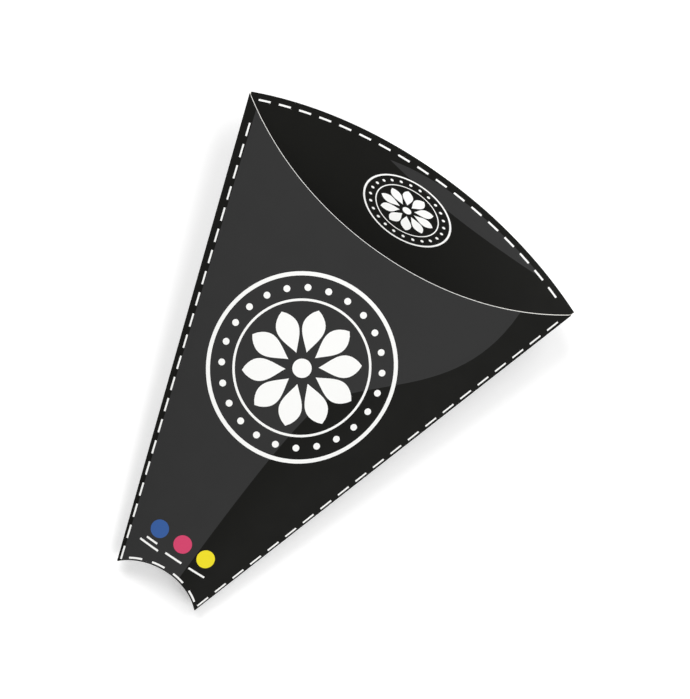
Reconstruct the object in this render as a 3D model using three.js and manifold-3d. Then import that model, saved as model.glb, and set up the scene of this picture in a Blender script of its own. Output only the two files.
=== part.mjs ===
// A takeaway crepe holder: one sheet of coated board, cut as a curved blank, folded along both sides
// and glued along one of them, then pressed open so that its two panels bow apart.
// The flap that is glued flat inside the back panel isn't modelled: both folds are closed alike.
// Millimetres, +Z up. The holder lies on its back panel, with its mouth towards +Y.

import * as THREE from 'three';
import { mergeVertices } from 'three/addons/utils/BufferGeometryUtils.js';
import Module from 'manifold-3d';

// The board
const boardThickness = 0.5;
const foldRadius = 0.7; // outside of each side fold
const foldLand = 2; // at the tip, the board is still flat this far from a fold

// The opened holder
const foldLength = 200; // each side fold, from the tip's corner to the mouth's corner
const mouthWidth = 163.5; // from fold to fold at the mouth's corners
const tipWidth = 38.7; // from fold to fold at the tip's corners
const mouthDepth = 40; // from crown to crown of the bowed panels, as far up as the mouth's corners

// The cut edges. Each is an arc on the flat blank, and bows this far from the straight line
// between its two corners.
const backRise = 20; // the back panel's top, rounded and above the corners
const frontDip = 24; // the front panel's top, hollow and below the corners
const tipNotch = 8.6; // the tip of both panels, hollow and above the corners

// How finely the curves are drawn
const bowStrips = 47; // flat strips across a bowed panel, an odd number to give a middle one
const foldSteps = 6; // flat strips round a fold

// Both panels are parts of one cone. Its apex, which the cut tip takes away, is the working origin,
// and the two side folds lie in the plane z = 0 with +Y between them.
const sideAngle = Math.asin((mouthWidth - tipWidth) / 2 / foldLength);
const mouthReach = mouthWidth / 2 / Math.sin(sideAngle); // from the apex to a corner of the mouth
const tipReach = mouthReach - foldLength; // from the apex to a corner of the tip
const bowAngle = Math.asin(mouthDepth / 2 / mouthReach);

// A bowed panel's straight lines all leave the apex, and meet the unit sphere in an arc of a circle
// through both folds and the panel's crown. The board doesn't stretch, so that arc's length is the
// panel's angle on the flat blank.
const arcChord = new THREE.Vector3(0, Math.cos(sideAngle), 0); // middle of the arc's chord
const arcCrown = new THREE.Vector3(0, Math.cos(bowAngle), Math.sin(bowAngle));
const arcHeight = arcCrown.distanceTo(arcChord);
const arcUp = arcCrown.clone().sub(arcChord).divideScalar(arcHeight);
const arcRadius = (Math.sin(sideAngle) ** 2 + arcHeight ** 2) / (2 * arcHeight);
const arcHalfTurn = 2 * Math.atan2(arcHeight, Math.sin(sideAngle));
const panelHalfAngle = arcRadius * arcHalfTurn;

// Which way a panel's straight line runs. share is -1 at the left fold, 0 at the crown and 1 at the
// right fold, and side is 1 for the front panel and -1 for the back one.
function lineDirection(share, side) {
  const turn = arcHalfTurn * share;
  const direction = arcCrown.clone().addScaledVector(arcUp, arcRadius * (Math.cos(turn) - 1));
  direction.x = arcRadius * Math.sin(turn);
  direction.z *= side;
  return direction.normalize();
}

// A cut edge as the distance from the apex at each share: the arc of a circle on the flat blank,
// through the corners at cornerReach, whose crown stands rise further from the apex than they do.
function cutEdge(cornerReach, rise) {
  const halfChord = cornerReach * Math.sin(panelHalfAngle);
  const radius = (halfChord ** 2 + rise ** 2) / (2 * Math.abs(rise));
  const towards = Math.sign(rise);
  const centre = cornerReach * Math.cos(panelHalfAngle) + rise - towards * radius;
  return (share) => {
    const angle = share * panelHalfAngle;
    return centre * Math.cos(angle) + towards * Math.sqrt(radius ** 2 - (centre * Math.sin(angle)) ** 2);
  };
}

const tipEdge = cutEdge(tipReach, tipNotch);
const mouthEdge = { 1: cutEdge(mouthReach, -frontDip), [-1]: cutEdge(mouthReach, backRise) };

// The shares where one flat strip meets the next, from fold to fold.
function stripShares() {
  const bowedShare = 1 - foldLand / (tipReach * panelHalfAngle);
  const shares = [-1];
  for (let i = 0; i <= bowStrips; i++) shares.push(bowedShare * ((2 * i) / bowStrips - 1));
  return [...shares, 1];
}

// The outward normal of each strip of a panel.
function stripNormals(shares, side) {
  return shares.slice(1).map((share, i) => {
    const left = lineDirection(shares[i], side);
    const right = lineDirection(share, side);
    return right.cross(left).multiplyScalar(side).normalize();
  });
}

// A rib is one straight line of the board, seen in section: it runs along direction from the apex,
// shifted outwards by outer and inwards by inner, and spans from tip to mouth.
// A step of one board thickness across two strips that meet at an angle follows their mitre.
function mitre(normalA, normalB) {
  return normalA.clone().add(normalB).divideScalar(1 + normalA.dot(normalB));
}

// The ribs of a panel between its folds, from left to right.
function panelRibs(side) {
  const shares = stripShares();
  const normals = stripNormals(shares, side);
  return shares.slice(1, -1).map((share, i) => {
    const across = mitre(normals[i], normals[i + 1]);
    return {
      direction: lineDirection(share, side),
      outer: across.clone().multiplyScalar(boardThickness / 2),
      inner: across.clone().multiplyScalar(-boardThickness / 2),
      tip: tipEdge(share),
      mouth: mouthEdge[side](share),
    };
  });
}

// The ribs round a side fold, from the front panel to the back one. end is -1 at the left.
function foldRibs(end) {
  const shares = stripShares();
  const strip = end < 0 ? 0 : shares.length - 2;
  const front = stripNormals(shares, 1)[strip];
  const back = stripNormals(shares, -1)[strip];
  const centre = mitre(front, back).multiplyScalar(boardThickness / 2 - foldRadius);
  const turn = front.angleTo(back);
  return Array.from({ length: foldSteps + 1 }, (_, i) => {
    const angle = (turn * i) / foldSteps;
    const out = front.clone().multiplyScalar(Math.sin(turn - angle));
    out.addScaledVector(back, Math.sin(angle)).normalize();
    return {
      direction: lineDirection(end, 1),
      outer: centre.clone().addScaledVector(out, foldRadius),
      inner: centre.clone().addScaledVector(out, foldRadius - boardThickness),
      tip: tipReach,
      mouth: mouthReach,
    };
  });
}

// The four corners of a rib's section: outer tip, outer mouth, inner mouth, inner tip.
function ribCorners({ direction, outer, inner, tip, mouth }) {
  const at = (reach, shift) => direction.clone().multiplyScalar(reach).add(shift);
  return [at(tip, outer), at(mouth, outer), at(mouth, inner), at(tip, inner)];
}

// Board between ribs, as one closed surface. The run of ribs goes round to its first one.
function boardGeometry(ribs) {
  const points = ribs.flatMap(ribCorners);
  const faces = [];
  const quad = (a, b, c, d) => faces.push(a, b, c, a, c, d);
  for (let i = 0; i < ribs.length; i++) {
    const left = 4 * i;
    const right = 4 * ((i + 1) % ribs.length);
    for (let side = 0; side < 4; side++) {
      const next = (side + 1) % 4;
      quad(left + side, right + side, right + next, left + next);
    }
  }
  const geometry = new THREE.BufferGeometry().setFromPoints(points);
  return geometry.setIndex(faces);
}

// Front panel from left to right, right fold, back panel from right to left, left fold.
function sleeveGeometry() {
  const ribs = [
    ...panelRibs(1),
    ...foldRibs(1),
    ...panelRibs(-1).reverse(),
    ...foldRibs(-1).reverse(),
  ];
  return boardGeometry(ribs);
}

const wasm = await Module();
wasm.setup();

function toSolid(geometry) {
  const bare = geometry.index ? geometry.toNonIndexed() : geometry.clone();
  for (const name of ['normal', 'uv']) bare.deleteAttribute(name);
  const merged = mergeVertices(bare, 1e-5);
  return new wasm.Manifold(
    new wasm.Mesh({
      numProp: 3,
      vertProperties: merged.attributes.position.array,
      triVerts: new Uint32Array(merged.index.array),
    }),
  );
}

function toGeometry(solid) {
  const { vertProperties, triVerts } = solid.getMesh();
  const geometry = new THREE.BufferGeometry();
  geometry.setAttribute('position', new THREE.BufferAttribute(vertProperties, 3));
  geometry.setIndex(new THREE.BufferAttribute(triVerts, 1));
  const flat = geometry.toNonIndexed();
  flat.computeVertexNormals();
  return flat;
}

const coatedBoard = new THREE.MeshStandardMaterial({ color: 0x1d1d1b, roughness: 0.5, metalness: 0 });

// Turned until the back panel's middle strip lies flat on the table, then centred over the origin.
function restingHolder() {
  const middle = lineDirection(stripShares()[(bowStrips + 1) / 2], -1);
  const geometry = toGeometry(toSolid(sleeveGeometry()));
  geometry.rotateX(Math.atan2(-middle.z, middle.y));
  geometry.computeBoundingBox();
  const { min, max } = geometry.boundingBox;
  const sleeve = new THREE.Mesh(geometry, coatedBoard);
  sleeve.name = 'folded_sleeve';
  sleeve.position.set(0, -(min.y + max.y) / 2, -min.z);
  return sleeve;
}

const holder = new THREE.Group();
holder.add(restingHolder());

export default holder;
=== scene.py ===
"""Crepe holder: one sheet of coated board, printed, cut, folded and glued, lying on its back panel.

The board is made here as it is made in life. Each panel is a flat outline. Its print is a list of plain
shapes on it, with lighter areas among them that are a painted highlight of the board's gloss, one
triangulation cuts the panel along its edges, its print and its bending lines, and the result is bent
onto the cone of the opened holder. Sizes are in metres.
"""

import math
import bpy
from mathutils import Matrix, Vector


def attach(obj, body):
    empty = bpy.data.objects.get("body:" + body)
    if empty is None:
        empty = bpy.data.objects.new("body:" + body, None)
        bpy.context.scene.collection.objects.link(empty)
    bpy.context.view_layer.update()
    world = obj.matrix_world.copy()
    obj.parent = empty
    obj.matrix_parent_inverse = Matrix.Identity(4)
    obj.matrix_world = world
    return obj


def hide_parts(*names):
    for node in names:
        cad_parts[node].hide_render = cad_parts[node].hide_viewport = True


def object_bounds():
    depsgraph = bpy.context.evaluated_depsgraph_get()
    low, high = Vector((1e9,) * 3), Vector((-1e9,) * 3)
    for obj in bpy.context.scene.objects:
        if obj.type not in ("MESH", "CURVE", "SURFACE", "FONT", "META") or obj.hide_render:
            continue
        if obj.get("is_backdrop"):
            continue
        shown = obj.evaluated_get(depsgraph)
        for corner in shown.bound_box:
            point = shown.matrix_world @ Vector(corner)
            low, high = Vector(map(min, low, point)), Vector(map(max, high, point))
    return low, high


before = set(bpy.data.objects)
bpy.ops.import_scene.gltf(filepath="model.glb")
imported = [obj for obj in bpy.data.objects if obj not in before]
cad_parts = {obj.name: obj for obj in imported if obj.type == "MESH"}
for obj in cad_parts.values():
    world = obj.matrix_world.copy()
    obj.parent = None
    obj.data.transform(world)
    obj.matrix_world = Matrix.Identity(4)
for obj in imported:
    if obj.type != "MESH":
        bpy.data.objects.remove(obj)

from types import SimpleNamespace

import bpy
import numpy as np
from mathutils import Matrix
from mathutils.geometry import delaunay_2d_cdt

bl_info = {
    "name": "Crepe Holder",
    "version": (1, 0, 0),
    "blender": (4, 5, 0),
    "location": "3D View > Sidebar > Crepe Holder",
    "description": "Folds a printed board crepe holder around its packed model and lights it",
    "category": "Object",
}

SLEEVE_NODE = "folded_sleeve"

# The two sides of the board, as the signs of their distance from its middle
OUTER, INNER = 1, -1
# The two panels, as the signs of their crown's height
FRONT, BACK = 1, -1

# How finely the bends are drawn
LANES = 96
CREASE_STEPS = 10
CREASE_ROWS = 26
CURVE_POINTS = 96

# How many dashes the print has along each side, along the tip and along the back panel's top
SIDE_STITCHES = 21
TIP_STITCHES = 4
TOP_STITCHES = 17

# A bending line keeps this far from a crease, so that the crease's own points stay as they are
CREASE_CLEARANCE = 0.0005

# A crease's parallel is brought onto a cut edge by this many corrections
EDGE_CORRECTIONS = 12

# How the triangulation works: it keeps what the outlines hold, and merges points this near
INSIDE_OUTLINES = 1
MERGE_DISTANCE = 1e-8

# The roundel, in a frame one unit in radius. The radii are the broad ring's and the thin ring's, each
# outside and inside
RING_RADII = (1.0, 0.957, 0.72, 0.695)
BEADS = 24
BEAD_CIRCLE = 0.835
BEAD_RADIUS = 0.036
PETALS = 10
PETAL_ROOT = 0.17
PETAL_LENGTH = 0.45
PETAL_HALF_WIDTH = 0.118
HUB_RADIUS = 0.1

# How finely the print's small shapes are drawn
DASH_POINTS = 5
PETAL_POINTS = 15
BEAD_POINTS = 16
HUB_POINTS = 32
SPOT_POINTS = 48

# How far a printed field runs past a cut edge, which then trims it
OVERPRINT = 0.001

# Where the print and the painted highlights start and end across a panel, as shares of the panel's half
# angle
TIP_BORDER_ENDS = (-0.76, 0.79)
TOP_BORDER_ENDS = (-0.94, 0.87)
BARE_LIP_ENDS = (-0.985, 0.975)
FRONT_HIGHLIGHT_ENDS = (-0.955, 0.78)
BACK_HIGHLIGHT_ENDS = (-0.198, 0.76)

# The painted highlight on the front: a lighter area for the gloss reflection on the bowed panel. Its
# right edge is two Bezier curves, from the hollow top to the tip. Its foot lies past the tip's cut edge,
# which trims it. Its left edge starts past the tip's corner, ends short of the mouth's, and has these
# insets from the crease.
HIGHLIGHT_UPPER_RIGHT = ((0.0621, 0.2353), (0.0628, 0.1957), (0.0307, 0.1844), (0.0139, 0.1616))
HIGHLIGHT_LOWER_RIGHT = ((0.0139, 0.1616), (0.0100, 0.1518), (0.0071, 0.1229), (0.0054, 0.0648))
HIGHLIGHT_FOOT = (0.0, 0.064)
HIGHLIGHT_PAST_TIP = 0.001
HIGHLIGHT_SHORT_OF_MOUTH = 0.006
HIGHLIGHT_INSETS = (0.0021, 0.0053)

# The painted highlight inside the back panel, a lighter area for the gloss near its rounded top: its
# outer edge's least inset from the rounded top, what the left end has on top of that, and the share over
# which the extra fades
BACK_HIGHLIGHT_INSET = 0.0023
BACK_HIGHLIGHT_EXTRA = 0.0040
BACK_HIGHLIGHT_FADE = 0.26

# The plain bars under the spots: each one's spot, its distance below the spots and its width
BARS = ((0, 0.0019, 0.0052), (0, 0.0041, 0.0090), (1, 0.0030, 0.0078), (2, 0.0030, 0.0078))
BAR_STROKE = 0.0008

# The stage: half the table's side, and each square lamp's name, place, side and power
TABLE_REACH = 6.0
LAMPS = (
    ("key", (-0.75, 0.55, 0.85), 0.7, 10.0),
    ("fill", (0.85, -0.35, 0.8), 0.8, 6.5),
    ("top", (0.15, 0.9, 0.75), 0.6, 4.4),
)


def linear(hex_code):
    """A colour written as it shows on a screen, as three amounts of light.

    By the screen's curve: near black a value is divided by 12.92, and above that 0.055 is added, the sum
    is divided by 1.055 and raised to the power 2.4.
    """
    shown = np.array([int(hex_code[i : i + 2], 16) / 255 for i in (1, 3, 5)])
    light = np.where(shown <= 0.04045, shown / 12.92, ((shown + 0.055) / 1.055) ** 2.4)
    return tuple(float(value) for value in light)


def length(name, description, default):
    """A size that a user may change."""
    return bpy.props.FloatProperty(
        name=name,
        description=description,
        default=default,
        min=0.0,
        precision=5,
        subtype="DISTANCE",
        unit="LENGTH",
    )


def colour(name, description, hex_code):
    """A colour that a user may change."""
    return bpy.props.FloatVectorProperty(
        name=name,
        description=description,
        default=linear(hex_code),
        min=0.0,
        max=1.0,
        subtype="COLOR",
    )


class SleeveSizes(bpy.types.PropertyGroup):
    """The folded board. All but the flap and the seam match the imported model, which has neither.

    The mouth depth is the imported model's between its flat middle strips, which lie 0.00001 inside the
    curve on either side.
    """

    fold_length: length("Side fold", "Each side fold, from tip corner to mouth corner", 0.2)
    mouth_width: length("Mouth width", "Between the folds at the mouth's corners", 0.1635)
    tip_width: length("Tip width", "Between the folds at the tip's corners", 0.0387)
    mouth_depth: length("Mouth depth", "From crown to crown, as far up as the mouth's corners", 0.03998)
    back_rise: length("Back rise", "How far the back's rounded top stands above its corners", 0.02)
    front_dip: length("Front dip", "How far the front's hollow top lies below its corners", 0.024)
    tip_notch: length("Tip notch", "How far the hollow tip lies above its corners", 0.0086)
    board_thickness: length("Board", "Thickness of the board", 0.0005)
    fold_radius: length("Fold radius", "Outside of each side fold", 0.0007)
    flap_width: length("Flap width", "The glue flap inside the back panel", 0.012)
    flap_taper: length("Flap taper", "How far the flap's free edge stops short of each end", 0.018)
    glue_film: length("Glue film", "Between the flap and the back panel", 0.00003)
    seam_inset: length("Seam inset", "From the right crease to the back panel's raw edge", 0.00126)


class PrintSizes(bpy.types.PropertyGroup):
    """The print, measured on the flat board."""

    stitch_length: length("Stitch length", "One dash of the border", 0.0056)
    stitch_width: length("Stitch width", "Stroke of the border's dashes", 0.00078)
    left_border_at_mouth: length("Left border, mouth", "From the left crease, at the mouth", 0.0042)
    left_border_at_tip: length("Left border, tip", "From the left crease, at the tip", 0.0019)
    right_border_at_mouth: length("Right border, mouth", "From the right crease, at the mouth", 0.0028)
    right_border_at_tip: length("Right border, tip", "From the right crease, at the tip", 0.0021)
    top_border: length("Top border", "From the back's rounded edge to its border", 0.0028)
    tip_border: length("Tip border", "From the tip's edge to its border", 0.0011)
    bare_lip: length("Bare lip", "Bare board along the front's hollow edge", 0.00018)
    roundel_radius: length("Roundel radius", "Outside of the large roundel", 0.0394)
    roundel_reach: length("Roundel place", "From the apex to the large roundel's middle", 0.1675)
    roundel_aside: length("Roundel aside", "From the crown to its middle, to the left", 0.0014)
    small_half_width: length("Small roundel width", "Half the inner roundel's width", 0.0210)
    small_half_height: length("Small roundel height", "Half the inner roundel's height", 0.0121)
    small_reach: length("Small roundel place", "From the apex to the inner roundel's middle", 0.2472)
    small_aside: length("Small roundel aside", "From the crown to its middle, to the right", 0.0008)
    spot_radius: length("Spot radius", "Each of the three coloured spots", 0.0038)
    spot_pitch: length("Spot pitch", "From one coloured spot to the next", 0.0113)
    spot_reach: length("Spot place", "From the apex to the row of spots", 0.0805)
    spot_aside: length("Spot aside", "The middle spot is this far to the left", 0.00105)


class BoardColours(bpy.types.PropertyGroup):
    """The inks, the painted highlight's lighter grey, and the board."""

    black: colour("Black", "Ground ink", "#181816")
    # The next colour is a painted highlight: the lighter grey of areas that stand for the board's gloss
    # reflection
    painted_highlight: colour("Charcoal", "Lighter fields", "#343434")
    white: colour("White", "Borders and roundels", "#fafaf8")
    blue: colour("Blue", "First spot", "#3b5f9e")
    rose: colour("Rose", "Second spot", "#d5486f")
    yellow: colour("Yellow", "Third spot", "#f3e22c")
    core: colour("Core", "Cut edges of the board", "#ebe8e0")


class StageSizes(bpy.types.PropertyGroup):
    """The camera and the lights."""

    aim: bpy.props.FloatVectorProperty(
        name="Aim",
        description="The point in the middle of the picture",
        default=(0.01007, 0.0194, 0.01424),
        subtype="TRANSLATION",
    )
    camera_distance: length("Camera distance", "From the camera to its aim", 1.002)
    lens: bpy.props.FloatProperty(
        name="Lens", description="Focal length in millimetres", default=125.35, min=1.0, unit="CAMERA"
    )
    lean_left: bpy.props.FloatProperty(
        name="Lean left",
        description="Camera's lean to the left",
        default=math.radians(5.34),
        subtype="ANGLE",
    )
    lean_down: bpy.props.FloatProperty(
        name="Lean down",
        description="Camera's lean towards the tip",
        default=math.radians(5.54),
        subtype="ANGLE",
    )
    picture_turn: bpy.props.FloatProperty(
        name="Picture turn",
        description="How far the holder is turned clockwise in the picture",
        default=math.radians(34.07),
        subtype="ANGLE",
    )


def opened_cone(sizes):
    """The cone that both panels bow on, its apex at the working origin and its creases in z = 0.

    Half the angle between the creases has as its sine half of mouth width less tip width, over the
    fold's length. A panel's rulings meet the unit sphere in an arc of a circle, through both creases
    and the crown, and as board doesn't stretch, that arc's length is the panel's angle when flat.
    """
    side_angle = math.asin((sizes.mouth_width - sizes.tip_width) / 2 / sizes.fold_length)
    mouth_reach = sizes.mouth_width / 2 / math.sin(side_angle)
    bow_angle = math.asin(sizes.mouth_depth / 2 / mouth_reach)
    crown = np.array([0.0, math.cos(bow_angle), math.sin(bow_angle)])
    rise = crown - np.array([0.0, math.cos(side_angle), 0.0])
    height = float(np.linalg.norm(rise))
    radius = (math.sin(side_angle) ** 2 + height**2) / (2 * height)
    half_turn = 2 * math.atan2(height, math.sin(side_angle))
    half_angle = radius * half_turn
    cone = SimpleNamespace(
        crown=crown,
        up=rise / height,
        radius=radius,
        half_turn=half_turn,
        half_angle=half_angle,
        bow_angle=bow_angle,
        mouth_reach=mouth_reach,
        tip_reach=mouth_reach - sizes.fold_length,
    )
    edge_point = polar(cone, np.array([1.0]), np.array([mouth_reach]))
    normal = bent(cone, edge_point, FRONT)[1][0]
    cone.crease_half_angle = math.acos(abs(float(normal[2])))
    return cone


def polar(cone, share, reach):
    """Flat points at a share of the panel's half angle and a distance from the apex."""
    angle = share * cone.half_angle
    return np.stack([reach * np.sin(angle), reach * np.cos(angle)], axis=1)


def bearing(cone, flat):
    """The share of the panel's half angle at which flat points lie, and their distance from the apex."""
    return np.arctan2(flat[:, 0], flat[:, 1]) / cone.half_angle, np.hypot(flat[:, 0], flat[:, 1])


def bent(cone, flat, panel, lift=0.0):
    """Flat points of a panel on its cone, and the outward normals there.

    A point keeps its distance from the apex, and goes on the ruling at its share of the arc:
    crown + radius * ((cos turn - 1) * up + sin turn * across). The normal is the arc's tangent
    times the ruling, and lift moves the point along it. The back panel is the front's mirror image.
    """
    share, reach = bearing(cone, flat)
    turn = (cone.half_turn * share)[:, None]
    across = np.array([1.0, 0.0, 0.0])
    ruling = cone.crown + cone.radius * ((np.cos(turn) - 1) * cone.up + np.sin(turn) * across)
    tangent = np.cos(turn) * across - np.sin(turn) * cone.up
    normal = np.cross(tangent, ruling)
    mirror = np.array([1.0, 1.0, float(panel)])
    return (reach[:, None] * ruling + lift * normal) * mirror, normal * mirror


def cut_edge(cone, corner_reach, rise, share):
    """Distance from the apex to a cut edge: a circle's arc on the flat board.

    The arc passes both corners at corner_reach, and its crown stands rise further out than they do.
    """
    half_chord = corner_reach * math.sin(cone.half_angle)
    radius = (half_chord**2 + rise**2) / (2 * abs(rise))
    towards = math.copysign(1.0, rise)
    centre = corner_reach * math.cos(cone.half_angle) + rise - towards * radius
    angle = share * cone.half_angle
    return centre * np.cos(angle) + towards * np.sqrt(radius**2 - (centre * np.sin(angle)) ** 2)


def beside_crease(cone, side, inset, along):
    """Flat points on a line parallel to a crease. side is -1 for the left crease and 1 for the right."""
    sine, cosine = math.sin(cone.half_angle), math.cos(cone.half_angle)
    return np.stack([side * (along * sine - inset * cosine), along * cosine + inset * sine], axis=1)


def edge_beside_crease(cone, side, inset, corner_reach, rise):
    """How far along a crease its parallel at this inset meets a cut edge, by repeated correction."""
    along = np.array([corner_reach])
    for _ in range(EDGE_CORRECTIONS):
        share, reach = bearing(cone, beside_crease(cone, side, inset, along))
        along = along + cut_edge(cone, corner_reach, rise, share) - reach
    return float(along[0])


def crease_places(sizes, cone):
    """How far from each crease the panels' flat parts end, for the mid line of the board.

    At the left both panels leave the fold at radius / tan(half the angle inside it). At the right the
    flap lies one board and a glue film further in than the back panel, so that fold's axis moves in.
    """
    half = cone.crease_half_angle
    radius = sizes.fold_radius - sizes.board_thickness / 2
    layer = sizes.board_thickness + sizes.glue_film
    away = (2 * radius + layer) / (2 * math.tan(half))
    return SimpleNamespace(
        radius=radius,
        layer=layer,
        left=radius / math.tan(half),
        right_front=away + layer / 2 * math.tan(half),
        right_flap=away - layer / 2 * math.tan(half),
    )


def panel_outline(cone, sizes, panel, left_inset, right_inset):
    """A panel's flat outline, with its two long sides parallel to the creases.

    Returns the outline's points, the places of both long sides in it, each from tip to mouth, and
    the bending lines, which are rulings from the tip's edge, or from beside a crease, to the mouth's.
    """
    rise = sizes.back_rise if panel == BACK else -sizes.front_dip
    ends = [
        (
            edge_beside_crease(cone, side, inset, cone.tip_reach, sizes.tip_notch),
            edge_beside_crease(cone, side, inset, cone.mouth_reach, rise),
        )
        for side, inset in ((-1, left_inset), (1, right_inset))
    ]
    shares = np.linspace(-1, 1, LANES + 1)[1:-1]
    inset = np.where(shares < 0, left_inset, right_inset) + CREASE_CLEARANCE
    beside = inset / np.sin((1 - np.abs(shares)) * cone.half_angle)
    tip = cut_edge(cone, cone.tip_reach, sizes.tip_notch, shares)
    mouth = cut_edge(cone, cone.mouth_reach, rise, shares)
    kept = beside < mouth - 4 * CREASE_CLEARANCE
    at_tip = kept & (beside < tip)
    start = np.maximum(tip, beside)[kept]
    lines = np.stack([polar(cone, shares[kept], start), polar(cone, shares[kept], mouth[kept])], axis=1)
    left = beside_crease(cone, -1, left_inset, np.linspace(*ends[0], CREASE_ROWS))
    right = beside_crease(cone, 1, right_inset, np.linspace(*ends[1], CREASE_ROWS))
    tip_edge = polar(cone, shares[at_tip], tip[at_tip])
    mouth_edge = polar(cone, shares[kept], mouth[kept])
    outline = np.concatenate([left[::-1], tip_edge, right, mouth_edge[::-1]])
    left_places = np.arange(CREASE_ROWS)[::-1]
    right_places = CREASE_ROWS + len(tip_edge) + np.arange(CREASE_ROWS)
    return outline, left_places, right_places, lines


def flap_outline(cone, sizes, places):
    """The glue flap's flat outline, drawn on the back panel's own flat, and its bending lines."""
    root_ends = (
        edge_beside_crease(cone, 1, places.right_front, cone.tip_reach, sizes.tip_notch),
        edge_beside_crease(cone, 1, places.right_front, cone.mouth_reach, -sizes.front_dip),
    )
    root = beside_crease(cone, 1, places.right_flap, np.linspace(*root_ends, CREASE_ROWS))
    free_ends = np.array([root_ends[1] - sizes.flap_taper, root_ends[0] + sizes.flap_taper])
    free = beside_crease(cone, 1, sizes.flap_width, free_ends)
    shares = np.linspace(-1, 1, LANES + 1)[1:-1]
    shares = shares[shares > 0]
    start = (places.right_flap + CREASE_CLEARANCE) / np.sin((1 - shares) * cone.half_angle)
    end = np.full_like(start, cone.mouth_reach * 1.1)
    kept = start < cone.mouth_reach
    lines = np.stack([polar(cone, shares, start), polar(cone, shares, end)], axis=1)[kept]
    return np.concatenate([root, free]), np.arange(CREASE_ROWS), lines


def circle(centre, radius, points):
    """A circle's outline."""
    angle = np.linspace(0, math.tau, points, endpoint=False)
    return np.array(centre) + radius * np.stack([np.cos(angle), np.sin(angle)], axis=1)


def stitches(line, count, dash, width):
    """Dashes along an open line of points, as one outline each, evenly spaced from end to end.

    Each dash follows the line: its two sides are the line moved by half the width along its normals.
    """
    step = np.linalg.norm(np.diff(line, axis=0), axis=1)
    run = np.concatenate([[0.0], np.cumsum(step)])
    starts = np.linspace(0, run[-1] - dash, count)
    at = starts[:, None] + np.linspace(0, dash, DASH_POINTS)
    along = np.gradient(line, run, axis=0)
    along /= np.linalg.norm(along, axis=1)[:, None]
    place = np.stack([np.interp(at, run, line[:, i]) for i in (0, 1)], axis=-1)
    ahead = np.stack([np.interp(at, run, along[:, i]) for i in (0, 1)], axis=-1)
    aside = np.stack([-ahead[..., 1], ahead[..., 0]], axis=-1) * width / 2
    return list(np.concatenate([place - aside, (place + aside)[:, ::-1]], axis=1))


def bezier(*controls, points=24):
    """A Bezier curve: the controls weighted by the Bernstein polynomials of their number."""
    t = np.linspace(0, 1, points)[:, None]
    order = len(controls) - 1
    weights = [math.comb(order, i) * t**i * (1 - t) ** (order - i) for i in range(order + 1)]
    return sum(weight * np.array(control) for weight, control in zip(weights, controls))


def rosette_roundel(centre, half_width, half_height):
    """A generic roundel: a ring, beads, a thin ring and a ring of petals round a hub.

    A petal runs from its root to its tip, and its half width goes as the sine of the way along,
    with the sine bent so that the petal is broadest near its tip.
    """
    rings = [circle((0, 0), radius, CURVE_POINTS) for radius in RING_RADII]
    bead_middles = circle((0, 0), BEAD_CIRCLE, BEADS)
    beads = [circle(middle, BEAD_RADIUS, BEAD_POINTS) for middle in bead_middles]
    way = np.linspace(0, 1, PETAL_POINTS)
    half = PETAL_HALF_WIDTH * np.sin(math.pi * way**1.35) ** 0.8
    along = PETAL_ROOT + PETAL_LENGTH * way
    petal = np.concatenate(
        [np.stack([along, half], axis=1)[:-1], np.stack([along, -half], axis=1)[:0:-1]]
    )
    petals = []
    for turn in np.linspace(0, math.tau, PETALS, endpoint=False):
        spin = np.array([[math.cos(turn), math.sin(turn)], [-math.sin(turn), math.cos(turn)]])
        petals.append(petal @ spin)
    hub = circle((0, 0), HUB_RADIUS, HUB_POINTS)
    shapes = [*rings, *beads, *petals, hub]
    return [np.array(centre) + shape * np.array([half_width, half_height]) for shape in shapes]


def bar(centre, width, height):
    """A plain upright rectangle's outline."""
    corners = np.array([[-0.5, -0.5], [0.5, -0.5], [0.5, 0.5], [-0.5, 0.5]])
    return np.array(centre) + corners * np.array([width, height])


def side_border(cone, look, side):
    """The side border's middle line, from tip to mouth, a little nearer the crease at the tip."""
    if side < 0:
        past_tip, short_of_mouth = 0.0016, 0.0125
        insets = look.left_border_at_tip, look.left_border_at_mouth
    else:
        past_tip, short_of_mouth = 0.0028, 0.0080
        insets = look.right_border_at_tip, look.right_border_at_mouth
    along = np.linspace(cone.tip_reach + past_tip, cone.mouth_reach - short_of_mouth, 30)
    inset = np.interp(along, along[[0, -1]], insets)
    return beside_crease(cone, side, inset, along)


def shared_border(cone, sizes, look):
    """The dashes that both panels carry: along both creases and along the tip."""
    shapes = []
    for side in (-1, 1):
        line = side_border(cone, look, side)
        shapes += stitches(line, SIDE_STITCHES, look.stitch_length, look.stitch_width)
    share = np.linspace(*TIP_BORDER_ENDS, 60)
    reach = cut_edge(cone, cone.tip_reach, sizes.tip_notch, share) + look.tip_border
    tip_line = polar(cone, share, reach)
    return shapes + stitches(tip_line, TIP_STITCHES, look.stitch_length, look.stitch_width)


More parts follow.
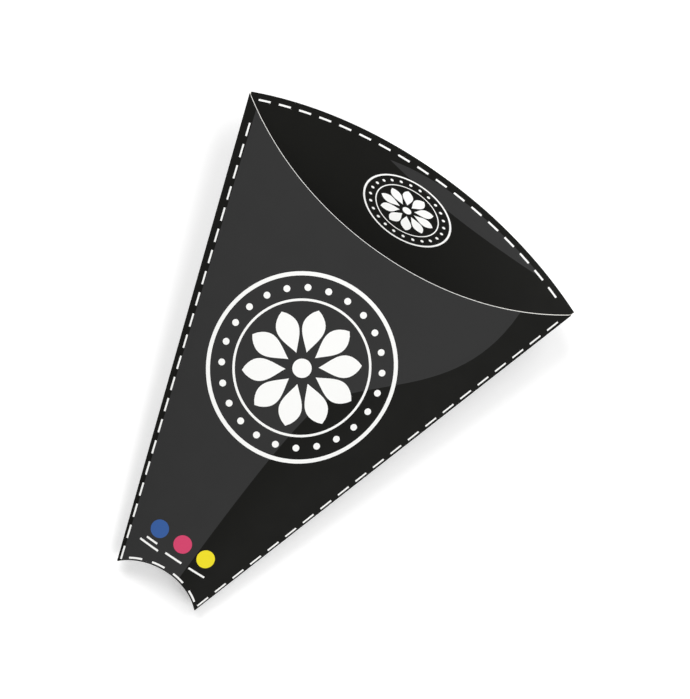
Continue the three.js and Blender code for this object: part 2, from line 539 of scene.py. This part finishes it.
def front_print(cone, sizes, look):
    """The front panel's print and its painted highlight, as (side of the board, ink, outlines) from the
    bottom up.
    """
    share = np.linspace(*FRONT_HIGHLIGHT_ENDS, 60)
    top = polar(cone, share, cut_edge(cone, cone.mouth_reach, -sizes.front_dip, share) + OVERPRINT)
    right = np.concatenate([bezier(*HIGHLIGHT_UPPER_RIGHT), bezier(*HIGHLIGHT_LOWER_RIGHT)[1:]])
    left_along = np.linspace(
        cone.tip_reach + HIGHLIGHT_PAST_TIP, cone.mouth_reach - HIGHLIGHT_SHORT_OF_MOUTH, 20
    )
    left_inset = np.interp(left_along, left_along[[0, -1]], HIGHLIGHT_INSETS)
    left = beside_crease(cone, -1, left_inset, left_along)
    highlight_area = np.concatenate([top, right, np.array([HIGHLIGHT_FOOT]), left])
    share = np.linspace(*BARE_LIP_ENDS, 80)
    lip_reach = cut_edge(cone, cone.mouth_reach, -sizes.front_dip, share)
    lip = np.concatenate(
        [
            polar(cone, share, lip_reach + OVERPRINT),
            polar(cone, share, lip_reach - look.bare_lip)[::-1],
        ]
    )
    centre = (-look.roundel_aside, look.roundel_reach)
    roundel = rosette_roundel(centre, look.roundel_radius, look.roundel_radius)
    columns = np.array([-1, 0, 1]) * look.spot_pitch - look.spot_aside
    spots = [
        (OUTER, ink, [circle((across, look.spot_reach), look.spot_radius, SPOT_POINTS)])
        for ink, across in zip(("blue", "rose", "yellow"), columns)
    ]
    caption = look.spot_reach - look.spot_radius
    bars = [bar((columns[spot], caption - below), width, BAR_STROKE) for spot, below, width in BARS]
    return [
        # Painted highlight: a lighter area for the gloss reflection on the bowed front
        (OUTER, "painted_highlight", [highlight_area]),
        (OUTER, "white", [lip]),
        (OUTER, "white", shared_border(cone, sizes, look)),
        (OUTER, "white", roundel),
        *spots,
        (OUTER, "white", bars),
    ]


def back_print(cone, sizes, look):
    """The back panel's print: a border on both its faces, and a roundel and a painted highlight inside.
    """
    share = np.linspace(*TOP_BORDER_ENDS, 160)
    reach = cut_edge(cone, cone.mouth_reach, sizes.back_rise, share) - look.top_border
    top_line = polar(cone, share, reach)
    top = stitches(top_line, TOP_STITCHES, look.stitch_length, look.stitch_width)
    # The painted highlight's outer edge starts well inside the rounded top and closes in on it
    share = np.linspace(*BACK_HIGHLIGHT_ENDS, 50)
    extra = BACK_HIGHLIGHT_EXTRA * np.exp(-(share - BACK_HIGHLIGHT_ENDS[0]) / BACK_HIGHLIGHT_FADE)
    inside_top = BACK_HIGHLIGHT_INSET + extra
    upper_reach = cut_edge(cone, cone.mouth_reach, sizes.back_rise, share) - inside_top
    upper = polar(cone, share, upper_reach)
    lower = bezier(upper[-1], (0.040, 0.2550), (0.010, 0.2562), upper[0])
    highlight_area = np.concatenate([upper, lower[1:-1]])
    centre = (look.small_aside, look.small_reach)
    roundel = rosette_roundel(centre, look.small_half_width, look.small_half_height)
    return [
        (OUTER, "white", shared_border(cone, sizes, look)),
        (OUTER, "white", top),
        # Painted highlight: a lighter area for the gloss inside the back panel
        (INNER, "painted_highlight", [highlight_area]),
        (INNER, "white", top),
        (INNER, "white", roundel),
    ]


def anticlockwise(shape):
    """The outline, run the other way if it runs clockwise: twice its area is a sum of cross products."""
    following = np.roll(shape, -1, axis=0)
    twice_area = (shape[:, 0] * following[:, 1] - shape[:, 1] * following[:, 0]).sum()
    return shape if twice_area > 0 else shape[::-1]


def cut_panel(outline, lines, prints, inks):
    """Triangulates a flat panel along its outline, its bending lines and its print, painted highlights
    included.

    Returns the points, the triangles, the ink of each triangle on the outer and the inner side, and
    the place of each outline point. A print covers a triangle that lies in an odd number of its
    outlines, and a later print covers an earlier one.
    """
    loops = [anticlockwise(shape) for _, _, shapes in prints for shape in shapes]
    loops.insert(0, outline)
    owner = np.repeat(np.arange(len(prints)), [len(shapes) for _, _, shapes in prints])
    sizes = np.array([len(loop) for loop in loops])
    starts = np.concatenate([[0], np.cumsum(sizes)])
    faces = [list(range(a, b)) for a, b in zip(starts[:-1], starts[1:])]
    first = int(starts[-1])
    edges = [(first + 2 * i, first + 2 * i + 1) for i in range(len(lines))]
    flat = np.concatenate([*loops, lines.reshape(-1, 2)])
    made = delaunay_2d_cdt(flat.tolist(), edges, faces, INSIDE_OUTLINES, MERGE_DISTANCE)
    points = np.array([tuple(point) for point in made[0]])
    triangles = np.array(made[2])
    inside = np.zeros((len(triangles), len(loops)), dtype=int)
    for row, holders in enumerate(made[5]):
        inside[row, list(holders)] = 1
    kept = inside[:, 0] == 1
    triangles, inside = triangles[kept], inside[kept, 1:]
    corner = points[triangles]
    a, b = corner[:, 1] - corner[:, 0], corner[:, 2] - corner[:, 0]
    turned = a[:, 0] * b[:, 1] - a[:, 1] * b[:, 0] < 0
    triangles[turned] = triangles[turned][:, ::-1]
    ink = {OUTER: np.full(len(triangles), inks["black"]), INNER: np.full(len(triangles), inks["black"])}
    for number, (side, name, _) in enumerate(prints):
        covered = inside[:, owner == number].sum(axis=1) % 2 == 1
        ink[side][covered] = inks[name]
    used = np.unique(triangles)
    number = np.full(len(points), -1)
    number[used] = np.arange(len(used))
    place = np.full(len(outline), -1)
    for row, sources in enumerate(made[3]):
        for source in sources:
            if source < len(outline):
                place[source] = number[row]
    return points[used], number[triangles], ink[OUTER], ink[INNER], place


class Board:
    """The board's middle surface while it is put together: points, normals, blank places, triangles."""

    def __init__(self):
        self.points, self.normals, self.blank = [], [], []
        self.triangles, self.outer_ink, self.inner_ink = [], [], []
        self.count = 0

    def add_points(self, points, normals, blank):
        """Adds points and returns the number of the first one."""
        first = self.count
        self.points.append(points)
        self.normals.append(normals)
        self.blank.append(blank)
        self.count += len(points)
        return first

    def add_triangles(self, triangles, outer_ink, inner_ink):
        """Adds triangles, wound so that they face outwards."""
        self.triangles.append(triangles)
        self.outer_ink.append(outer_ink)
        self.inner_ink.append(inner_ink)

    def gathered(self):
        """Everything as whole arrays."""
        names = ("points", "normals", "blank", "triangles", "outer_ink", "inner_ink")
        return SimpleNamespace(**{name: np.concatenate(getattr(self, name)) for name in names})


def on_blank(cone, flat, panel, is_flap=False):
    """Where a panel's flat points lie on the unfolded sheet, with the front panel upright in its middle.

    The back panel follows at the front's left, and the flap at its right. Both are turned over in the
    folding, so their share counts back from the crease.
    """
    share, reach = bearing(cone, flat)
    if is_flap:
        share = 2 - share
    elif panel == BACK:
        share = -2 - share
    return polar(cone, share, reach)


def add_panel(board, cone, panel, cut, lift=0.0, is_flap=False):
    """Bends a cut panel onto its cone and adds it. Returns the board's number of its first point."""
    flat, triangles, outer_ink, inner_ink, _ = cut
    points, normals = bent(cone, flat, panel, lift)
    first = board.add_points(points, normals, on_blank(cone, flat, panel, is_flap))
    wound = triangles if panel == FRONT else triangles[:, ::-1]
    board.add_triangles(wound + first, outer_ink, inner_ink)
    return first


def add_crease(board, before, after, radius, ink):
    """Bridges two panels round a fold, row by row, with the same points as their edges.

    Between the edges the normal turns evenly from one panel's to the other's, and the point is the
    fold's axis plus radius times the normal. The axis is each edge's point less radius times its
    normal, mixed from one edge to the other.
    """
    gathered = board.gathered()
    normal_a, normal_b = gathered.normals[before], gathered.normals[after]
    axis_a = gathered.points[before] - radius * normal_a
    axis_b = gathered.points[after] - radius * normal_b
    way = (np.arange(1, CREASE_STEPS) / CREASE_STEPS)[:, None, None]
    turn = np.arccos(np.clip((normal_a * normal_b).sum(axis=1), -1, 1))[None, :, None]
    normal = (np.sin((1 - way) * turn) * normal_a + np.sin(way * turn) * normal_b) / np.sin(turn)
    points = (1 - way) * axis_a + way * axis_b + radius * normal
    blank = (1 - way) * gathered.blank[before] + way * gathered.blank[after]
    first = board.add_points(points.reshape(-1, 3), normal.reshape(-1, 3), blank.reshape(-1, 2))
    rows = len(before)
    inner = first + np.arange((CREASE_STEPS - 1) * rows).reshape(-1, rows)
    grid = np.concatenate([before[None], inner, after[None]])
    a, b = grid[:-1, :-1].ravel(), grid[1:, :-1].ravel()
    c, d = grid[1:, 1:].ravel(), grid[:-1, 1:].ravel()
    triangles = np.concatenate([np.stack([a, b, c], axis=1), np.stack([a, c, d], axis=1)])
    corner = np.concatenate([gathered.points, points.reshape(-1, 3)])[triangles]
    facing = np.cross(corner[:, 1] - corner[:, 0], corner[:, 2] - corner[:, 0])
    every = np.concatenate([gathered.normals, normal.reshape(-1, 3)])[triangles].sum(axis=1)
    turned = (facing * every).sum(axis=1) < 0
    triangles[turned] = triangles[turned][:, ::-1]
    inks = np.full(len(triangles), ink)
    board.add_triangles(triangles, inks, inks)


def folded_board(sizes, look, inks):
    """The whole sheet: front panel, left fold, back panel, and at the right fold the flap inside."""
    cone = opened_cone(sizes)
    places = crease_places(sizes, cone)
    board = Board()

    front = panel_outline(cone, sizes, FRONT, places.left, places.right_front)
    front_cut = cut_panel(front[0], front[3], front_print(cone, sizes, look), inks)
    front_first = add_panel(board, cone, FRONT, front_cut)

    back = panel_outline(cone, sizes, BACK, places.left, sizes.seam_inset)
    back_cut = cut_panel(back[0], back[3], back_print(cone, sizes, look), inks)
    back_first = add_panel(board, cone, BACK, back_cut)

    flap = flap_outline(cone, sizes, places)
    flap_cut = cut_panel(flap[0], flap[2], [], inks)
    flap_first = add_panel(board, cone, BACK, flap_cut, -places.layer, is_flap=True)

    left = front_first + front_cut[4][front[1]], back_first + back_cut[4][back[1]]
    right = front_first + front_cut[4][front[2]], flap_first + flap_cut[4][flap[1]]
    for before, after in (left, right):
        add_crease(board, before, after, places.radius, inks["black"])
    return cone, board.gathered()


def table_place(cone, sizes, packed_end):
    """The working frame's place over the table, as a matrix.

    It turns about X until the back panel's crown lies level, lifts the crown's outer face onto z = 0
    and brings the crown's end to packed_end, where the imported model's rounded top ends in Y.
    """
    crown_end = float(cut_edge(cone, cone.mouth_reach, sizes.back_rise, np.zeros(1))[0])
    shift = Matrix.Translation((0.0, packed_end - crown_end, sizes.board_thickness / 2))
    return shift @ Matrix.Rotation(cone.bow_angle, 4, "X")


def solid_mesh(name, sheet, thickness, core_slot, place):
    """A closed mesh from the middle surface: both faces half a thickness away, and the cut edges.

    An edge that only one triangle uses is a cut edge, and gets two triangles across the thickness.
    """
    count = len(sheet.points)
    half = sheet.normals * thickness / 2
    corners = np.concatenate([sheet.points + half, sheet.points - half])
    outer, inner = sheet.triangles, sheet.triangles[:, ::-1] + count
    ways = np.concatenate([outer[:, [0, 1]], outer[:, [1, 2]], outer[:, [2, 0]]])
    key = np.sort(ways, axis=1)
    _, where, uses = np.unique(key, axis=0, return_index=True, return_counts=True)
    start, end = ways[where[uses == 1]].T
    rim = np.concatenate(
        [
            np.stack([end, start, start + count], axis=1),
            np.stack([end, start + count, end + count], axis=1),
        ]
    )
    faces = np.concatenate([outer, inner, rim])
    slots = np.concatenate([sheet.outer_ink, sheet.inner_ink, np.full(len(rim), core_slot)])

    turn = np.array(place.to_3x3())
    corners = corners @ turn.T + np.array(place.translation)
    normals = np.concatenate([sheet.normals, -sheet.normals]) @ turn.T

    mesh = bpy.data.meshes.new(name)
    mesh.from_pydata(corners.tolist(), [], faces.tolist())
    mesh.polygons.foreach_set("material_index", slots.astype(np.int32))
    mesh.polygons.foreach_set("use_smooth", np.ones(len(faces), dtype=bool))
    blank = np.concatenate([sheet.blank, sheet.blank])[faces.ravel()]
    mesh.uv_layers.new(name="blank").uv.foreach_set("vector", blank.ravel().astype(np.float32))
    corner = corners[rim]
    flat_normal = np.cross(corner[:, 1] - corner[:, 0], corner[:, 2] - corner[:, 0])
    flat_normal /= np.linalg.norm(flat_normal, axis=1)[:, None]
    shown = normals[faces]
    shown[-len(rim) :] = flat_normal[:, None]
    mesh.update()
    mesh.normals_split_custom_set(shown.reshape(-1, 3).tolist())
    mesh.validate()
    return mesh


def add_node(tree, kind, inputs=(), **settings):
    """Adds a shader node, sets it, and fills or links its inputs by name or number."""
    node = tree.nodes.new(kind)
    for key, value in settings.items():
        setattr(node, key, value)
    for key, value in dict(inputs).items():
        if isinstance(value, bpy.types.NodeSocket):
            tree.links.new(value, node.inputs[key])
        else:
            node.inputs[key].default_value = value
    return node


def coated_board_group():
    """The board's own surface under its ink: fibre, calender mottle and a fine varnish grain.

    Puts out the ink's colour with its mottle, the roughness and the height for a bump.
    """
    tree = bpy.data.node_groups.new("Coated board", "ShaderNodeTree")
    face = tree.interface
    face.new_socket("Blank", in_out="INPUT", socket_type="NodeSocketVector")
    face.new_socket("Ink", in_out="INPUT", socket_type="NodeSocketColor")
    face.new_socket("Mottle", in_out="INPUT", socket_type="NodeSocketFloat")
    face.new_socket("Roughness", in_out="INPUT", socket_type="NodeSocketFloat")
    face.new_socket("Ink", in_out="OUTPUT", socket_type="NodeSocketColor")
    face.new_socket("Roughness", in_out="OUTPUT", socket_type="NodeSocketFloat")
    face.new_socket("Height", in_out="OUTPUT", socket_type="NodeSocketFloat")
    given = add_node(tree, "NodeGroupInput").outputs
    along = add_node(
        tree,
        "ShaderNodeMapping",
        {"Vector": given["Blank"], "Scale": (1.0, 0.35, 1.0)},
        vector_type="POINT",
    )
    fibre = add_node(
        tree,
        "ShaderNodeTexNoise",
        {"Vector": along.outputs[0], "Scale": 1400.0, "Detail": 4.0, "Roughness": 0.6, "Distortion": 0.4},
    )
    cloud = add_node(
        tree,
        "ShaderNodeTexNoise",
        {"Vector": given["Blank"], "Scale": 90.0, "Detail": 3.0, "Roughness": 0.55},
    )
    grain = add_node(
        tree, "ShaderNodeTexNoise", {"Vector": given["Blank"], "Scale": 5200.0, "Detail": 2.0}
    )
    spread = add_node(tree, "ShaderNodeMath", {0: cloud.outputs[0], 1: 0.5}, operation="SUBTRACT")
    amount = add_node(
        tree,
        "ShaderNodeMath",
        {0: spread.outputs[0], 1: given["Mottle"], 2: 1.0},
        operation="MULTIPLY_ADD",
    )
    scaled = add_node(
        tree, "ShaderNodeVectorMath", {0: given["Ink"], "Scale": amount.outputs[0]}, operation="SCALE"
    )
    rough = add_node(
        tree,
        "ShaderNodeMath",
        {0: spread.outputs[0], 1: 0.22, 2: given["Roughness"]},
        operation="MULTIPLY_ADD",
    )
    height = add_node(
        tree,
        "ShaderNodeMath",
        {0: grain.outputs[0], 1: 0.35, 2: fibre.outputs[0]},
        operation="MULTIPLY_ADD",
    )
    add_node(
        tree,
        "NodeGroupOutput",
        {"Ink": scaled.outputs[0], "Roughness": rough.outputs[0], "Height": height.outputs[0]},
    )
    return tree


def board_material(name, ink, group, mottle, roughness, specular, bump):
    """Printed or bare board, or a painted highlight: one Principled shader over the coated board group.

    A solid ink, with no mottle, keeps its colour on the shader itself.
    """
    material = bpy.data.materials.new(name)
    material.use_nodes = True
    tree = material.node_tree
    tree.nodes.clear()
    blank = add_node(tree, "ShaderNodeUVMap", uv_map="blank")
    board = add_node(
        tree,
        "ShaderNodeGroup",
        {"Blank": blank.outputs[0], "Ink": (*ink, 1.0), "Mottle": mottle, "Roughness": roughness},
        node_tree=group,
    )
    relief = add_node(
        tree,
        "ShaderNodeBump",
        {"Height": board.outputs["Height"], "Distance": bump, "Strength": 1.0},
    )
    shader = add_node(
        tree,
        "ShaderNodeBsdfPrincipled",
        {
            "Base Color": board.outputs["Ink"] if mottle else (*ink, 1.0),
            "Roughness": board.outputs["Roughness"],
            "Normal": relief.outputs[0],
            "Specular IOR Level": specular,
        },
    )
    add_node(tree, "ShaderNodeOutputMaterial", {"Surface": shader.outputs[0]})
    material.diffuse_color = (*ink, 1.0)
    return material


def board_materials(colours):
    """One material for each ink, one for the painted highlight and one for the board's cut core, in slot
    order.
    """
    group = coated_board_group()
    # Each ink, then its mottle, its roughness, its specular level and its bump's height
    finishes = [
        ("black", 0.10, 0.52, 0.06, 0.000003),
        # The next entry is a painted highlight: a lighter grey for the board's gloss reflection, not an
        # ink
        ("painted_highlight", 0.08, 0.52, 0.06, 0.000003),
        ("white", 0, 0.52, 0.10, 0.000003),
        ("blue", 0, 0.52, 0.08, 0.000003),
        ("rose", 0, 0.52, 0.08, 0.000003),
        ("yellow", 0, 0.52, 0.08, 0.000003),
        ("core", 0.25, 0.85, 0.20, 0.000030),
    ]
    return {
        ink: board_material(f"{ink}_board", getattr(colours, ink), group, *finish)
        for ink, *finish in finishes
    }


class CREPE_HOLDER_OT_fold_sleeve(bpy.types.Operator):
    """Print, cut and fold the board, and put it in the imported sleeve's place"""

    bl_idname = "crepe_holder.fold_sleeve"
    bl_label = "Fold Sleeve"

    def execute(self, context):
        scene = context.scene
        sizes, look = scene.holder_sleeve, scene.holder_print
        materials = board_materials(scene.holder_colours)
        inks = {name: slot for slot, name in enumerate(materials)}
        packed_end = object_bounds()[1][1]
        cone, sheet = folded_board(sizes, look, inks)
        place = table_place(cone, sizes, packed_end)
        mesh = solid_mesh("printed_sleeve", sheet, sizes.board_thickness, inks["core"], place)
        for material in materials.values():
            mesh.materials.append(material)
        sleeve = bpy.data.objects.new("printed_sleeve", mesh)
        scene.collection.objects.link(sleeve)
        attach(sleeve, "root")
        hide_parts(SLEEVE_NODE)
        return {"FINISHED"}


def floor_material():
    """White paper that shows as plain white and keeps the shadow.

    It glows a little to the camera, and more with the distance from the middle, where the lamps
    don't reach.
    """
    material = bpy.data.materials.new("white_table")
    material.use_nodes = True
    tree = material.node_tree
    tree.nodes.clear()
    path = add_node(tree, "ShaderNodeLightPath")
    paper = add_node(tree, "ShaderNodeBsdfDiffuse", {"Color": (0.86, 0.86, 0.86, 1.0)})
    place = add_node(tree, "ShaderNodeTexCoord").outputs["Object"]
    away = add_node(tree, "ShaderNodeVectorMath", {0: place}, operation="LENGTH")
    glow = add_node(
        tree,
        "ShaderNodeMapRange",
        {
            "Value": away.outputs["Value"],
            "From Min": 0.2,
            "From Max": 0.9,
            "To Min": 0.32,
            "To Max": 0.95,
        },
        interpolation_type="SMOOTHSTEP",
    )
    lift = add_node(
        tree, "ShaderNodeEmission", {"Color": (1.0, 1.0, 1.0, 1.0), "Strength": glow.outputs["Result"]}
    )
    lifted = add_node(tree, "ShaderNodeAddShader", {0: paper.outputs[0], 1: lift.outputs[0]})
    shown = add_node(
        tree,
        "ShaderNodeMixShader",
        {"Fac": path.outputs["Is Camera Ray"], 1: paper.outputs[0], 2: lifted.outputs[0]},
    )
    add_node(tree, "ShaderNodeOutputMaterial", {"Surface": shown.outputs[0]})
    return material


def looking(place, aim, upward):
    """A camera's or lamp's matrix: its back is away from the aim, and its top leans towards upward."""
    back = np.array(place, dtype=float) - np.array(aim, dtype=float)
    back /= np.linalg.norm(back)
    right = np.cross(np.array(upward, dtype=float), back)
    right /= np.linalg.norm(right)
    top = np.cross(back, right)
    matrix = Matrix(np.column_stack([right, top, back]).tolist()).to_4x4()
    matrix.translation = tuple(place)
    return matrix


def add_lamp(scene, name, place, size, power):
    """A square soft lamp at a place, facing the middle of the table."""
    lamp = bpy.data.lights.new(name, "AREA")
    lamp.shape = "SQUARE"
    lamp.size = size
    lamp.energy = power
    holder = bpy.data.objects.new(name, lamp)
    scene.collection.objects.link(holder)
    holder.matrix_world = looking(place, (0.0, 0.0, 0.0), (0.0, 1.0, 0.0))


def picture_camera(view):
    """The camera: nearly over the holder, leaning a little, and turned to point the tip down left."""
    left, down = view.lean_left, view.lean_down
    back = np.array([-math.sin(left), -math.sin(down) * math.cos(left), math.cos(down) * math.cos(left)])
    along = np.array([0.0, math.cos(down), math.sin(down)])
    across = np.cross(along, back)
    upward = math.cos(view.picture_turn) * along - math.sin(view.picture_turn) * across
    aim = np.array(view.aim)
    camera = bpy.data.cameras.new("camera")
    camera.lens = view.lens
    camera.sensor_width = 36.0
    camera.clip_start = 0.01
    holder = bpy.data.objects.new("camera", camera)
    holder.matrix_world = looking(aim + back * view.camera_distance, aim, upward)
    return holder


class CREPE_HOLDER_OT_set_stage(bpy.types.Operator):
    """Lay a white table under the holder, light it softly and set the camera"""

    bl_idname = "crepe_holder.set_stage"
    bl_label = "Set Stage"

    def execute(self, context):
        scene = context.scene
        camera = picture_camera(scene.holder_stage)
        scene.collection.objects.link(camera)
        scene.camera = camera

        mesh = bpy.data.meshes.new("table")
        reach = TABLE_REACH
        mesh.from_pydata(
            [(-reach, -reach, 0.0), (reach, -reach, 0.0), (reach, reach, 0.0), (-reach, reach, 0.0)],
            [],
            [(0, 1, 2, 3)],
        )
        mesh.materials.append(floor_material())
        table = bpy.data.objects.new("table", mesh)
        scene.collection.objects.link(table)
        table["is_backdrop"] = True

        for lamp in LAMPS:
            add_lamp(scene, *lamp)

        world = bpy.data.worlds.new("studio")
        scene.world = world
        world.use_nodes = True
        tree = world.node_tree
        tree.nodes.clear()
        path = add_node(tree, "ShaderNodeLightPath")
        soft = add_node(tree, "ShaderNodeBackground", {"Color": (1.0, 1.0, 1.0, 1.0), "Strength": 0.25})
        white = add_node(tree, "ShaderNodeBackground", {"Color": (1.0, 1.0, 1.0, 1.0), "Strength": 1.0})
        sky = add_node(
            tree,
            "ShaderNodeMixShader",
            {"Fac": path.outputs["Is Camera Ray"], 1: soft.outputs[0], 2: white.outputs[0]},
        )
        add_node(tree, "ShaderNodeOutputWorld", {"Surface": sky.outputs[0]})
        scene.view_settings.view_transform = "Standard"
        return {"FINISHED"}


class CREPE_HOLDER_PT_sidebar(bpy.types.Panel):
    """The holder's steps and sizes"""

    bl_idname = "CREPE_HOLDER_PT_sidebar"
    bl_label = "Crepe Holder"
    bl_space_type = "VIEW_3D"
    bl_region_type = "UI"
    bl_category = "Crepe Holder"

    def draw(self, context):
        layout = self.layout
        scene = context.scene
        for operator in OPERATORS:
            layout.operator(operator.bl_idname)
        for group in (scene.holder_sleeve, scene.holder_print, scene.holder_colours, scene.holder_stage):
            box = layout.box()
            for key in group.__annotations__:
                box.prop(group, key)


OPERATORS = (CREPE_HOLDER_OT_fold_sleeve, CREPE_HOLDER_OT_set_stage)
GROUPS = {
    "holder_sleeve": SleeveSizes,
    "holder_print": PrintSizes,
    "holder_colours": BoardColours,
    "holder_stage": StageSizes,
}


def register():
    """Registers the classes and hangs the property groups on the scene."""
    for item in (*GROUPS.values(), *OPERATORS, CREPE_HOLDER_PT_sidebar):
        bpy.utils.register_class(item)
    for name, group in GROUPS.items():
        setattr(bpy.types.Scene, name, bpy.props.PointerProperty(type=group))


def unregister():
    """Takes everything off again."""
    for name in GROUPS:
        delattr(bpy.types.Scene, name)
    for item in reversed((*GROUPS.values(), *OPERATORS, CREPE_HOLDER_PT_sidebar)):
        bpy.utils.unregister_class(item)


def main():
    """Builds the holder and its stage."""
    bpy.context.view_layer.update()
    register()
    bpy.ops.crepe_holder.fold_sleeve()
    bpy.ops.crepe_holder.set_stage()
    bpy.context.view_layer.update()


if __name__ == "__main__":
    main()
